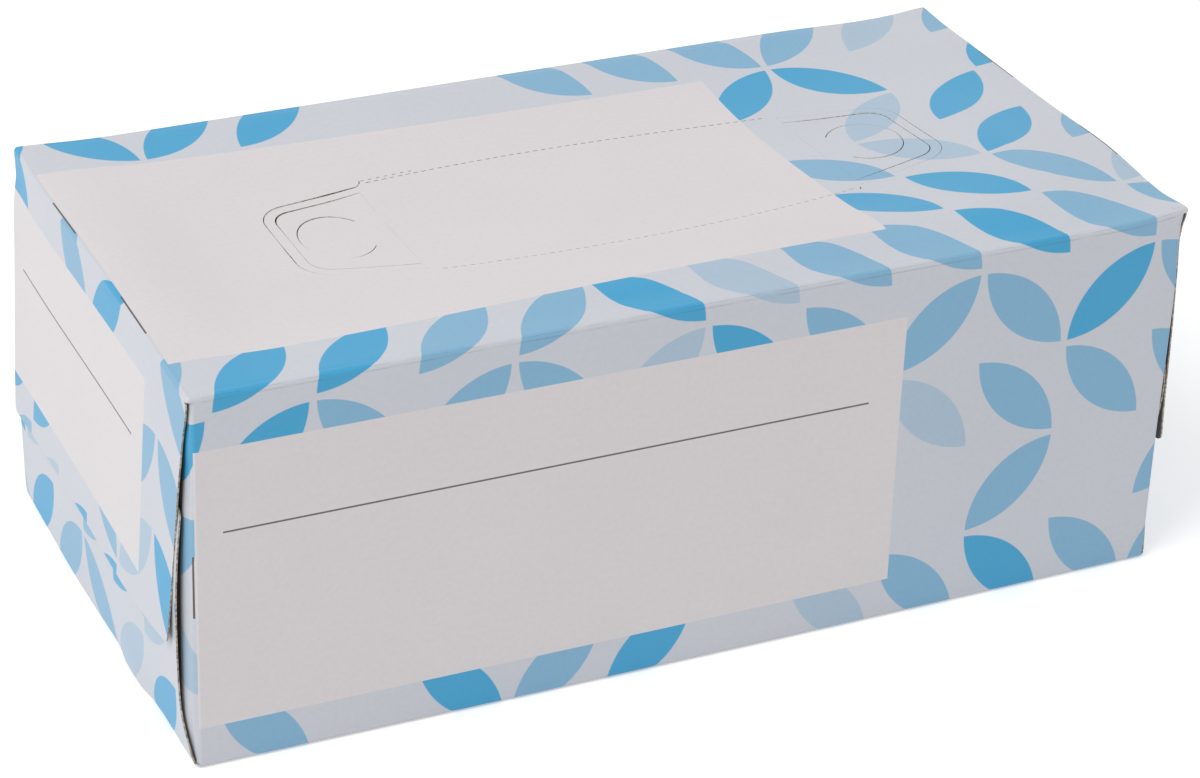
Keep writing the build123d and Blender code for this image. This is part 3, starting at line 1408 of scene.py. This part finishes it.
@dataclass(frozen=True)
class PrintedFace:
    """The board's printed outside: petals in square tiles on a pale ground, bare fields, rules and cuts, with
    painted shade in the creases, the cuts and on the inner flaps.
    """

    inks: PrintInks
    bare_fields: Tuple[BareField, ...]
    creases: Tuple[CreaseLine, ...]
    cuts: Tuple[Area, ...]
    gap_shade_area: Area
    crease_shade: float = 0.22
    tile: float = 21.0
    tile_start: Point = (400.0, 400.0, 0.0)
    turn_seed: Point = (7.3, 1.9, 0.0)
    turn_share: float = 0.5
    tint_seed: Point = (2.7, 11.4, 0.0)
    tint_stops: Point = (0.12, 0.44, 0.80)
    petal: float = 0.97
    soft: float = 0.012
    roughness: float = 0.42
    crease_unevenness: Speckle = Speckle(0.16, 2.0, 0.3, 0.62)
    mottle: Speckle = Speckle(0.9, 3.0, 0.95, 1.05)
    cloud: Speckle = Speckle(0.035, 2.0, 0.975, 1.025)
    grain: Speckle = Speckle(1.6, 4.0)
    grain_depth: float = 0.00004
    grain_strength: float = 0.35

    def petals(self, pen: NodePen, blank: bpy.types.NodeSocket) -> bpy.types.NodeSocket:
        """The pattern's colour: in each tile a petal along one diagonal, where discs about two corners meet.

        Args:
            pen: The material's pen.
            blank: Places on the blank in millimetres.

        Returns:
            The ground's or a petal's tint.
        """
        place = pen.scaled(pen.vector("ADD", blank, self.tile_start), 1.0 / self.tile)
        cell = pen.vector("FLOOR", place)
        inner = pen.vector("FRACTION", place)
        parts = pen.node("ShaderNodeSeparateXYZ")
        pen.feed(parts.inputs[0], inner)
        turned = pen.math("GREATER_THAN", pen.random(cell, self.turn_seed), self.turn_share)
        across = pen.math("ABSOLUTE", pen.math("SUBTRACT", turned, parts.outputs["X"]))
        join = pen.node("ShaderNodeCombineXYZ")
        pen.feed(join.inputs["X"], across)
        pen.feed(join.inputs["Y"], parts.outputs["Y"])
        one = pen.vector("DISTANCE", join.outputs[0], (1.0, 0.0, 0.0))
        two = pen.vector("DISTANCE", join.outputs[0], (0.0, 1.0, 0.0))
        depth = pen.math("SUBTRACT", self.petal, pen.math("MAXIMUM", one, two))
        shape = pen.step(depth, 0.0, self.soft)
        pick = pen.random(cell, self.tint_seed)
        tint = pen.mix(pen.math("GREATER_THAN", pick, self.tint_stops[1]), self.inks.strong, self.inks.medium)
        tint = pen.mix(pen.math("GREATER_THAN", pick, self.tint_stops[2]), tint, self.inks.light)
        shown = pen.math("MULTIPLY", shape, pen.math("GREATER_THAN", pick, self.tint_stops[0]))
        return pen.mix(shown, self.inks.ground, tint)

    def dress(self, material: bpy.types.Material) -> None:
        """Builds the material's nodes.

        Args:
            material: The material.
        """
        pen = NodePen(material)
        uv = pen.node("ShaderNodeUVMap")
        uv.uv_map = BLANK_MAP
        blank = pen.scaled(uv.outputs["UV"], BLANK_SCALE)
        parts = pen.node("ShaderNodeSeparateXYZ")
        pen.feed(parts.inputs[0], blank)
        u, v = parts.outputs["X"], parts.outputs["Y"]
        colour = self.petals(pen, blank)
        for bare in self.bare_fields:
            colour = pen.mix(bare.area.mask(pen, u, v), colour, self.inks.paper)
            if bare.rule:
                colour = pen.mix(bare.rule.mask(pen, u, v), colour, self.inks.rule)
        # Painted cuts: dark brown lines that stand partly for the board in the cut and partly for painted
        # shade inside the slit.
        for cut in self.cuts:
            colour = pen.mix(cut.mask(pen, u, v), colour, self.inks.cut)
        # Painted shade: the inner flaps are coloured dark grey past a line near their folds, where the gap
        # beneath the outer flaps lies in shade.
        painted_gap_shade = self.gap_shade_area.mask(pen, pen.math("ABSOLUTE", u), pen.math("ABSOLUTE", v))
        colour = pen.mix(painted_gap_shade, colour, self.inks.bare)
        # Painted shade in the creases: thin lines along the front fold and across the hinges darken the
        # colour, unevenly along their length.
        crease_shade_mask: Input = 0.0
        for crease in self.creases:
            line = pen.math("MULTIPLY", crease.area.mask(pen, u, v), crease.strength)
            crease_shade_mask = pen.math("MAXIMUM", crease_shade_mask, line)
        uneven = pen.step(pen.noise(blank, self.crease_unevenness), self.crease_unevenness.low, self.crease_unevenness.high)
        tone = pen.spread(pen.math("MULTIPLY", crease_shade_mask, uneven), 1.0, 1.0 - self.crease_shade)
        for speckle in (self.mottle, self.cloud):
            shade = pen.spread(pen.noise(blank, speckle), speckle.low, speckle.high)
            tone = pen.math("MULTIPLY", tone, shade)
        pen.feed(pen.shader.inputs["Base Color"], pen.scaled(colour, tone))
        pen.feed(pen.shader.inputs["Roughness"], self.roughness)
        pen.bump(pen.noise(blank, self.grain), self.grain_depth, self.grain_strength)


@dataclass(frozen=True)
class RawBoard:
    """Unprinted board: the grey inside or a cut edge, with short fibres."""

    colour: Colour
    dark: Colour
    roughness: float
    fibre: Speckle

    def dress(self, material: bpy.types.Material) -> None:
        """Builds the material's nodes.

        Args:
            material: The material.
        """
        pen = NodePen(material)
        place = pen.node("ShaderNodeTexCoord").outputs["Object"]
        fibre = pen.step(pen.noise(place, self.fibre), self.fibre.low, self.fibre.high)
        pen.feed(pen.shader.inputs["Base Color"], pen.mix(fibre, self.dark, self.colour))
        pen.feed(pen.shader.inputs["Roughness"], self.roughness)


# The inside's grey is darker than the board's own grey: painted shade for where it shows, in the gaps between
# the flaps and inside the slits.
SHADED_GREY_INSIDE = RawBoard(
    colour=(0.2, 0.19, 0.175),
    dark=(0.15, 0.14, 0.13),
    roughness=0.8,
    fibre=Speckle(900.0, 4.0, 0.35, 0.65),
)
BROWN_EDGE = RawBoard(
    colour=(0.62, 0.56, 0.46),
    dark=(0.2, 0.17, 0.14),
    roughness=0.85,
    fibre=Speckle(1200.0, 4.0, 0.35, 0.65),
)


@dataclass(frozen=True)
class Dent:
    """A soft push of the board about a place, in millimetres, with its own reach along each axis."""

    place: Point
    push: Point
    reach: Point

    def moved(self, points: np.ndarray) -> np.ndarray:
        """Points after the push, which fades as a bell of the distance from its place.

        Args:
            points: One row per point.

        Returns:
            The moved points.
        """
        away = (((points - np.array(self.place)) / np.array(self.reach)) ** 2).sum(axis=-1, keepdims=True)
        return points + np.exp(-away) * np.array(self.push)


@dataclass
class Carton:
    """The whole folded blank as one piece of board."""

    sizes: CartonSizes
    finishes: Dict[BoardSide, Union[PrintedFace, RawBoard]]
    dents: Tuple[Dent, ...] = ()
    merge: float = 0.003
    tiny_edge: float = 0.0001
    sharp: float = 40.0
    patches: List[Patch] = field(default_factory=list)

    def add(self, patches: Sequence[Patch]) -> None:
        """Adds patches to the blank.

        Args:
            patches: The patches.
        """
        self.patches.extend(patches)

    def sheet(self) -> bpy.types.Mesh:
        """The outer surface of the board as one mesh, its patches joined where their edges meet."""
        starts = np.cumsum([0] + [patch.points[..., 0].size for patch in self.patches])
        points = np.concatenate([patch.points.reshape(-1, 3) for patch in self.patches])
        for dent in self.dents:
            points = dent.moved(points)
        blank = np.concatenate([patch.blank.reshape(-1, 2) for patch in self.patches]) / BLANK_SCALE
        quads = np.concatenate([patch.quads(int(start)) for patch, start in zip(self.patches, starts)])
        used, corners = np.unique(quads.ravel(), return_inverse=True)
        mesh = bpy.data.meshes.new(PIECE)
        mesh.from_pydata(points[used] * MM, [], corners.reshape(-1, 4))
        layer = mesh.uv_layers.new(name=BLANK_MAP)
        layer.uv.foreach_set("vector", blank[quads.ravel()].astype(np.float32).ravel())
        work = bmesh.new()
        work.from_mesh(mesh)
        bmesh.ops.remove_doubles(work, verts=work.verts, dist=self.merge * MM)
        bmesh.ops.dissolve_degenerate(work, edges=work.edges, dist=self.tiny_edge * MM)
        work.to_mesh(mesh)
        work.free()
        return mesh

    def thicken(self, piece: bpy.types.Object) -> None:
        """Gives the sheet its thickness inwards, with the inside and the cut edges in their own finishes.

        Args:
            piece: The piece that holds the sheet.
        """
        solid = piece.modifiers.new("board", "SOLIDIFY")
        solid.thickness = self.sizes.sheet * MM
        solid.offset = -1.0
        solid.use_even_offset = False
        solid.material_offset = BoardSide.INSIDE.value
        solid.material_offset_rim = BoardSide.EDGE.value
        made = bpy.data.meshes.new_from_object(piece.evaluated_get(bpy.context.evaluated_depsgraph_get()))
        piece.modifiers.clear()
        flat = piece.data
        piece.data = made
        bpy.data.meshes.remove(flat)
        made.name = PIECE
        made.shade_smooth()
        made.set_sharp_from_angle(angle=math.radians(self.sharp))

    def build(self) -> bpy.types.Object:
        """The finished piece, in its place in the frame."""
        mesh = self.sheet()
        for side in BoardSide:
            material = bpy.data.materials.new("board_" + side.name.lower())
            self.finishes[side].dress(material)
            mesh.materials.append(material)
        piece = bpy.data.objects.new(PIECE, mesh)
        bpy.context.scene.collection.objects.link(piece)
        self.thicken(piece)
        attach(piece, BODY)
        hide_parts(NODE)
        LOG.info("carton: %d vertices, %d faces", len(piece.data.vertices), len(piece.data.polygons))
        return piece


@dataclass(frozen=True)
class SoftLamp:
    """A square soft lamp aimed at the carton's middle."""

    name: str
    place: Point
    size: float
    watts: float

    def build(self, aim: Vector) -> None:
        """Adds the lamp.

        Args:
            aim: Where it points.
        """
        data = bpy.data.lights.new(self.name, "AREA")
        data.size = self.size
        data.energy = self.watts
        lamp = bpy.data.objects.new(self.name, data)
        lamp.location = self.place
        lamp.rotation_euler = (aim - Vector(self.place)).to_track_quat("-Z", "Y").to_euler()
        bpy.context.scene.collection.objects.link(lamp)


@dataclass(frozen=True)
class Studio:
    """The pale floor, the soft light and the camera.

    The camera's eye and lens are in millimetres, and the floor and the lamps are in metres.
    """

    azimuth: float = -25.656
    elevation: float = 29.289
    roll: float = 2.304
    eye: Point = (-302.9, -636.8, 429.8)
    lens: float = 111.777
    sensor: float = 36.0
    clip_start: float = 0.01
    sky: float = 0.6
    white: float = 1.0
    floor_half: float = 3.0
    floor_drop: float = 0.0002
    floor_colour: Colour = (0.9, 0.9, 0.9)
    floor_glow: float = 0.36
    aim: Point = (0.0, 0.0, 0.04)
    lamps: Tuple[SoftLamp, ...] = (SoftLamp("key", (-1.05, -0.34, 1.46), 1.0, 13.1),)

    def camera(self) -> None:
        """Adds the camera, turned by its azimuth and elevation and then rolled about its own axis."""
        az, el = math.radians(self.azimuth), math.radians(self.elevation)
        back = Vector((math.sin(az) * math.cos(el), -math.cos(az) * math.cos(el), math.sin(el)))
        right = Vector((0, 0, 1)).cross(back).normalized()
        up = back.cross(right)
        turn = Matrix((right, up, back)).transposed() @ Matrix.Rotation(math.radians(self.roll), 3, "Z")
        data = bpy.data.cameras.new("camera")
        data.lens = self.lens
        data.sensor_width = self.sensor
        data.sensor_fit = "HORIZONTAL"
        data.clip_start = self.clip_start
        camera = bpy.data.objects.new("camera", data)
        camera.matrix_world = Matrix.Translation(Vector(self.eye) * MM) @ turn.to_4x4()
        bpy.context.scene.collection.objects.link(camera)
        bpy.context.scene.camera = camera

    def seen(self, tree: bpy.types.NodeTree) -> bpy.types.NodeSocket:
        """Whether a ray looks at what lies round the carton: from the camera, from a mirror or through glass.

        Args:
            tree: The material's or the world's nodes.

        Returns:
            1 for such a ray and 0 for light.
        """
        path = tree.nodes.new("ShaderNodeLightPath")
        found = path.outputs["Is Camera Ray"]
        for name in ("Is Glossy Ray", "Is Transmission Ray"):
            either = tree.nodes.new("ShaderNodeMath")
            either.operation = "MAXIMUM"
            tree.links.new(found, either.inputs[0])
            tree.links.new(path.outputs[name], either.inputs[1])
            found = either.outputs[0]
        return found

    def world(self) -> None:
        """Makes the surroundings evenly pale, and white where the camera looks past the floor."""
        world = bpy.data.worlds.new("studio")
        bpy.context.scene.world = world
        world.use_nodes = True
        tree = world.node_tree
        tree.nodes.clear()
        mix = tree.nodes.new("ShaderNodeMixShader")
        for socket, strength in zip(mix.inputs[1:], (self.sky, self.white)):
            shade = tree.nodes.new("ShaderNodeBackground")
            shade.inputs["Color"].default_value = (1, 1, 1, 1)
            shade.inputs["Strength"].default_value = strength
            tree.links.new(shade.outputs[0], socket)
        output = tree.nodes.new("ShaderNodeOutputWorld")
        tree.links.new(self.seen(tree), mix.inputs["Fac"])
        tree.links.new(mix.outputs[0], output.inputs["Surface"])

    def floor(self) -> None:
        """Adds the floor, which takes the carton's shadow and is lifted to white where the camera sees it."""
        h, low = self.floor_half, -self.floor_drop
        mesh = bpy.data.meshes.new("floor")
        mesh.from_pydata([(-h, -h, low), (h, -h, low), (h, h, low), (-h, h, low)], [], [(0, 1, 2, 3)])
        material = bpy.data.materials.new("floor")
        material.use_nodes = True
        tree = material.node_tree
        tree.nodes.clear()
        diffuse = tree.nodes.new("ShaderNodeBsdfDiffuse")
        diffuse.inputs["Color"].default_value = (*self.floor_colour, 1.0)
        glow = tree.nodes.new("ShaderNodeEmission")
        part = tree.nodes.new("ShaderNodeMath")
        part.operation = "MULTIPLY"
        part.inputs[1].default_value = self.floor_glow
        add = tree.nodes.new("ShaderNodeAddShader")
        output = tree.nodes.new("ShaderNodeOutputMaterial")
        tree.links.new(self.seen(tree), part.inputs[0])
        tree.links.new(part.outputs[0], glow.inputs["Strength"])
        tree.links.new(diffuse.outputs[0], add.inputs[0])
        tree.links.new(glow.outputs[0], add.inputs[1])
        tree.links.new(add.outputs[0], output.inputs["Surface"])
        mesh.materials.append(material)
        floor = bpy.data.objects.new("floor", mesh)
        bpy.context.scene.collection.objects.link(floor)

    def build(self) -> None:
        """Adds everything round the carton."""
        bpy.context.scene.view_settings.view_transform = "Standard"
        self.world()
        self.floor()
        for lamp in self.lamps:
            lamp.build(Vector(self.aim))
        self.camera()


def bare_fields(sizes: CartonSizes) -> Tuple[BareField, ...]:
    """The bare fields on the top, the front and the left end.

    Args:
        sizes: The carton's sizes.

    Returns:
        The fields, placed from the top's middle, from the front fold and from the left end's fold.
    """
    front, end = (0.0, sizes.half_width), (-sizes.upper_fold, 0.0)
    top_area = Area((-109.4, 45.6), (-42.3, 44.1))
    front_area = Area((-109.4, 44.6), (12.0, 74.8))
    front_rule = Area((-103.5, 37.0), (30.55, 30.95))
    end_area = Area((-52.6, -9.0), (-57.0, 33.2))
    end_rule = Area((-25.2, -24.8), (-49.6, 26.5))
    return (
        BareField(top_area),
        BareField(front_area.moved(*front), front_rule.moved(*front)),
        BareField(end_area.moved(*end), end_rule.moved(*end)),
    )


def crease_lines(sizes: CartonSizes, tear: TearOut) -> Tuple[CreaseLine, ...]:
    """The fine lines of painted shade along the front fold and across the lid's two hinges.

    Args:
        sizes: The carton's sizes.
        tear: The tear-out.

    Returns:
        The lines.
    """
    ends = (-sizes.panel_end, sizes.panel_end)
    fold_line = Area(ends, (0.12, 0.3)).moved(0.0, sizes.half_width)
    score_line = Area(ends, (1.2, 1.4)).moved(0.0, sizes.half_width)
    half = tear.hinge_half - tear.spacing
    hinge = Area(tear.hinge_line, (-half, half)).moved(tear.centre_x, -tear.centre_y)
    hinges = [CreaseLine(hinge.moved(x, 0.0), tear.hinge_strength) for x in (tear.hinge, -tear.hinge)]
    return (CreaseLine(fold_line), CreaseLine(score_line), *hinges)


def painted_cut_lines(sizes: CartonSizes, shift: float) -> Tuple[Area, ...]:
    """The short cuts through the print along the upper end folds and the inner folds, painted as dark lines:
    partly the board in the cut, partly painted shade in the slit.

    Args:
        sizes: The carton's sizes.
        shift: How far the left end's cuts lie towards the back.

    Returns:
        The cuts.
    """
    found = []
    near, far = sizes.fold_slit_near, sizes.fold_slit_far
    wall = sizes.half_width + sizes.height
    high, low = wall - sizes.inner_slit_high, wall - sizes.inner_slit_low
    for end in End:
        move = -shift if end is End.LEFT else 0.0
        fold = tuple(sorted(end.value * (sizes.upper_fold - place) for place in sizes.fold_cut))
        inner = tuple(sorted(end.value * (sizes.inner_fold + place) for place in sizes.inner_cut))
        found += [Area(fold, span).moved(0.0, move) for span in ((near, far), (-far, -near))]
        found += [Area(inner, span) for span in ((high, low), (-low, -high))]
    return tuple(found)


def inner_flap_gap_shade(sizes: CartonSizes) -> Area:
    """The inner flaps' painted shade, from a short way past their folds to past their free edges.

    Args:
        sizes: The carton's sizes.

    Returns:
        The part at the right front, which the other three flaps mirror.
    """
    margin, wall = sizes.gap_shade_margin, sizes.half_width + sizes.height
    free = sizes.inner_fold + sizes.inner_flap_length + sizes.gap_shade_overrun
    return Area((sizes.inner_fold + sizes.gap_shade_start, free), (sizes.half_width + margin, wall - margin))


def board_dents(sizes: CartonSizes) -> Tuple[Dent, ...]:
    """The pulled-up corners of the top, the uneven ends, and the front's bulge above its bottom fold.

    Args:
        sizes: The carton's sizes.

    Returns:
        The pushes in millimetres, in the order in which they are made.
    """
    x, y, z = sizes.upper_fold, sizes.half_width, sizes.height
    right_front_corner = Dent((x, -y, z), push=(0.5, 0.0, 1.3), reach=(8.0, 8.0, 3.5))
    left_back_corner = Dent((-x, y, z), push=(0.3, 0.0, 0.85), reach=(12.0, 12.0, 8.0))
    left_back_edge = Dent((-x, y, 66.0), push=(0.75, 0.0, 0.0), reach=(20.0, 22.0, 28.0))
    left_back_neck = Dent((-x, y, 79.0), push=(0.75, 0.0, 0.0), reach=(10.0, 12.0, 5.0))
    right_front_neck = Dent((x, -y, 79.0), push=(-0.6, 0.0, 0.0), reach=(10.0, 10.0, 5.5))
    right_front_edge = Dent((x, -y, 60.0), push=(0.42, 0.0, 0.0), reach=(6.0, 5.0, 22.0))
    right_fold = Dent((x, -25.0, z), push=(0.1, 0.0, 1.15), reach=(16.0, 17.0, 25.0))
    right_back_corner = Dent((x, y, z), push=(0.0, 0.0, 0.6), reach=(7.0, 7.0, 7.0))
    right_back_dip = Dent((93.0, y, z), push=(0.0, 0.0, -0.55), reach=(14.0, 12.0, 12.0))
    left_bottom_fold = Dent((-x, 18.0, 0.0), push=(-0.75, 0.0, 0.0), reach=(14.0, 30.0, 10.0))
    front_bulge = Dent((0.0, -y, 0.0), push=(0.0, -0.9, 0.0), reach=(120.0, 30.0, 30.0))
    return (
        right_front_corner,
        left_back_corner,
        left_back_edge,
        left_back_neck,
        right_front_neck,
        right_front_edge,
        right_fold,
        right_back_corner,
        right_back_dip,
        left_bottom_fold,
        front_bulge,
    )


def left_closure(sizes: CartonSizes, fold: Fold, top: TopPanel) -> EndClosure:
    """The left end, whose flaps bow out at the front and stand back from the corner there.

    Args:
        sizes: The carton's sizes.
        fold: The crease.
        top: The top panel.

    Returns:
        The closure.
    """
    upper = FlapBow(half_way=(1.38, 1.3, 0.65), free=(3.84, 2.4, 1.2), rest=(0.45, 0.0, 0.0))
    lower = FlapBow(
        half_way=(2.5, 1.8, 0.82), free=(0.5, 0.6, 0.38), rest=(-0.5, 0.0, 0.0), rest_at=0.15, rest_reach=0.22
    )
    return EndClosure(
        sizes,
        fold,
        top,
        End.LEFT,
        upper,
        lower,
        front_gap=3.2,
        back_gap=0.4,
        gap_taper=13.0,
        upper_narrow=2.3,
        slit_shift=-1.85,
        lip=1.1,
    )


def right_closure(sizes: CartonSizes, fold: Fold, top: TopPanel) -> EndClosure:
    """The right end, whose flaps lie closer, the lower one let in at its front.

    Args:
        sizes: The carton's sizes.
        fold: The crease.
        top: The top panel.

    Returns:
        The closure.
    """
    upper = FlapBow(
        half_way=(-0.16, 0.9, 0.4), free=(1.1, 1.6, 0.8), rest=(0.55, 0.0, 0.0), rest_at=0.2, rest_reach=0.22
    )
    lower = FlapBow(
        half_way=(-1.4, 0.9, 0.4), free=(-1.2, 0.4, 0.2), rest=(-1.6, 0.0, 0.0), rest_at=0.68, rest_reach=0.15
    )
    return EndClosure(
        sizes,
        fold,
        top,
        End.RIGHT,
        upper,
        lower,
        front_gap=0.5,
        back_gap=0.5,
        upper_drop=(7.0, 6.6),
        lower_drop=(2.5, 2.5),
    )


def main() -> None:
    """Builds the carton and the studio; the carton's build logs its vertex and face counts."""
    logging.basicConfig(level=logging.INFO)
    sizes = CartonSizes()
    fold = Fold(sizes.bend)
    tear = TearOut()
    top = TopPanel(sizes, TopRelief(sizes), tear)
    left, right = left_closure(sizes, fold, top), right_closure(sizes, fold, top)
    sleeve = Sleeve(sizes, fold, top, {closure.end: closure.lower_bow for closure in (left, right)})
    print_face = PrintedFace(
        PrintInks(),
        bare_fields(sizes),
        crease_lines(sizes, tear),
        painted_cut_lines(sizes, left.slit_shift),
        inner_flap_gap_shade(sizes),
    )
    finishes = {BoardSide.PRINT: print_face, BoardSide.INSIDE: SHADED_GREY_INSIDE, BoardSide.EDGE: BROWN_EDGE}
    carton = Carton(sizes, finishes, board_dents(sizes))
    for part in (top, sleeve, left, right):
        carton.add(part.patches())
    carton.build()
    Studio().build()


if __name__ == "__main__":
    main()
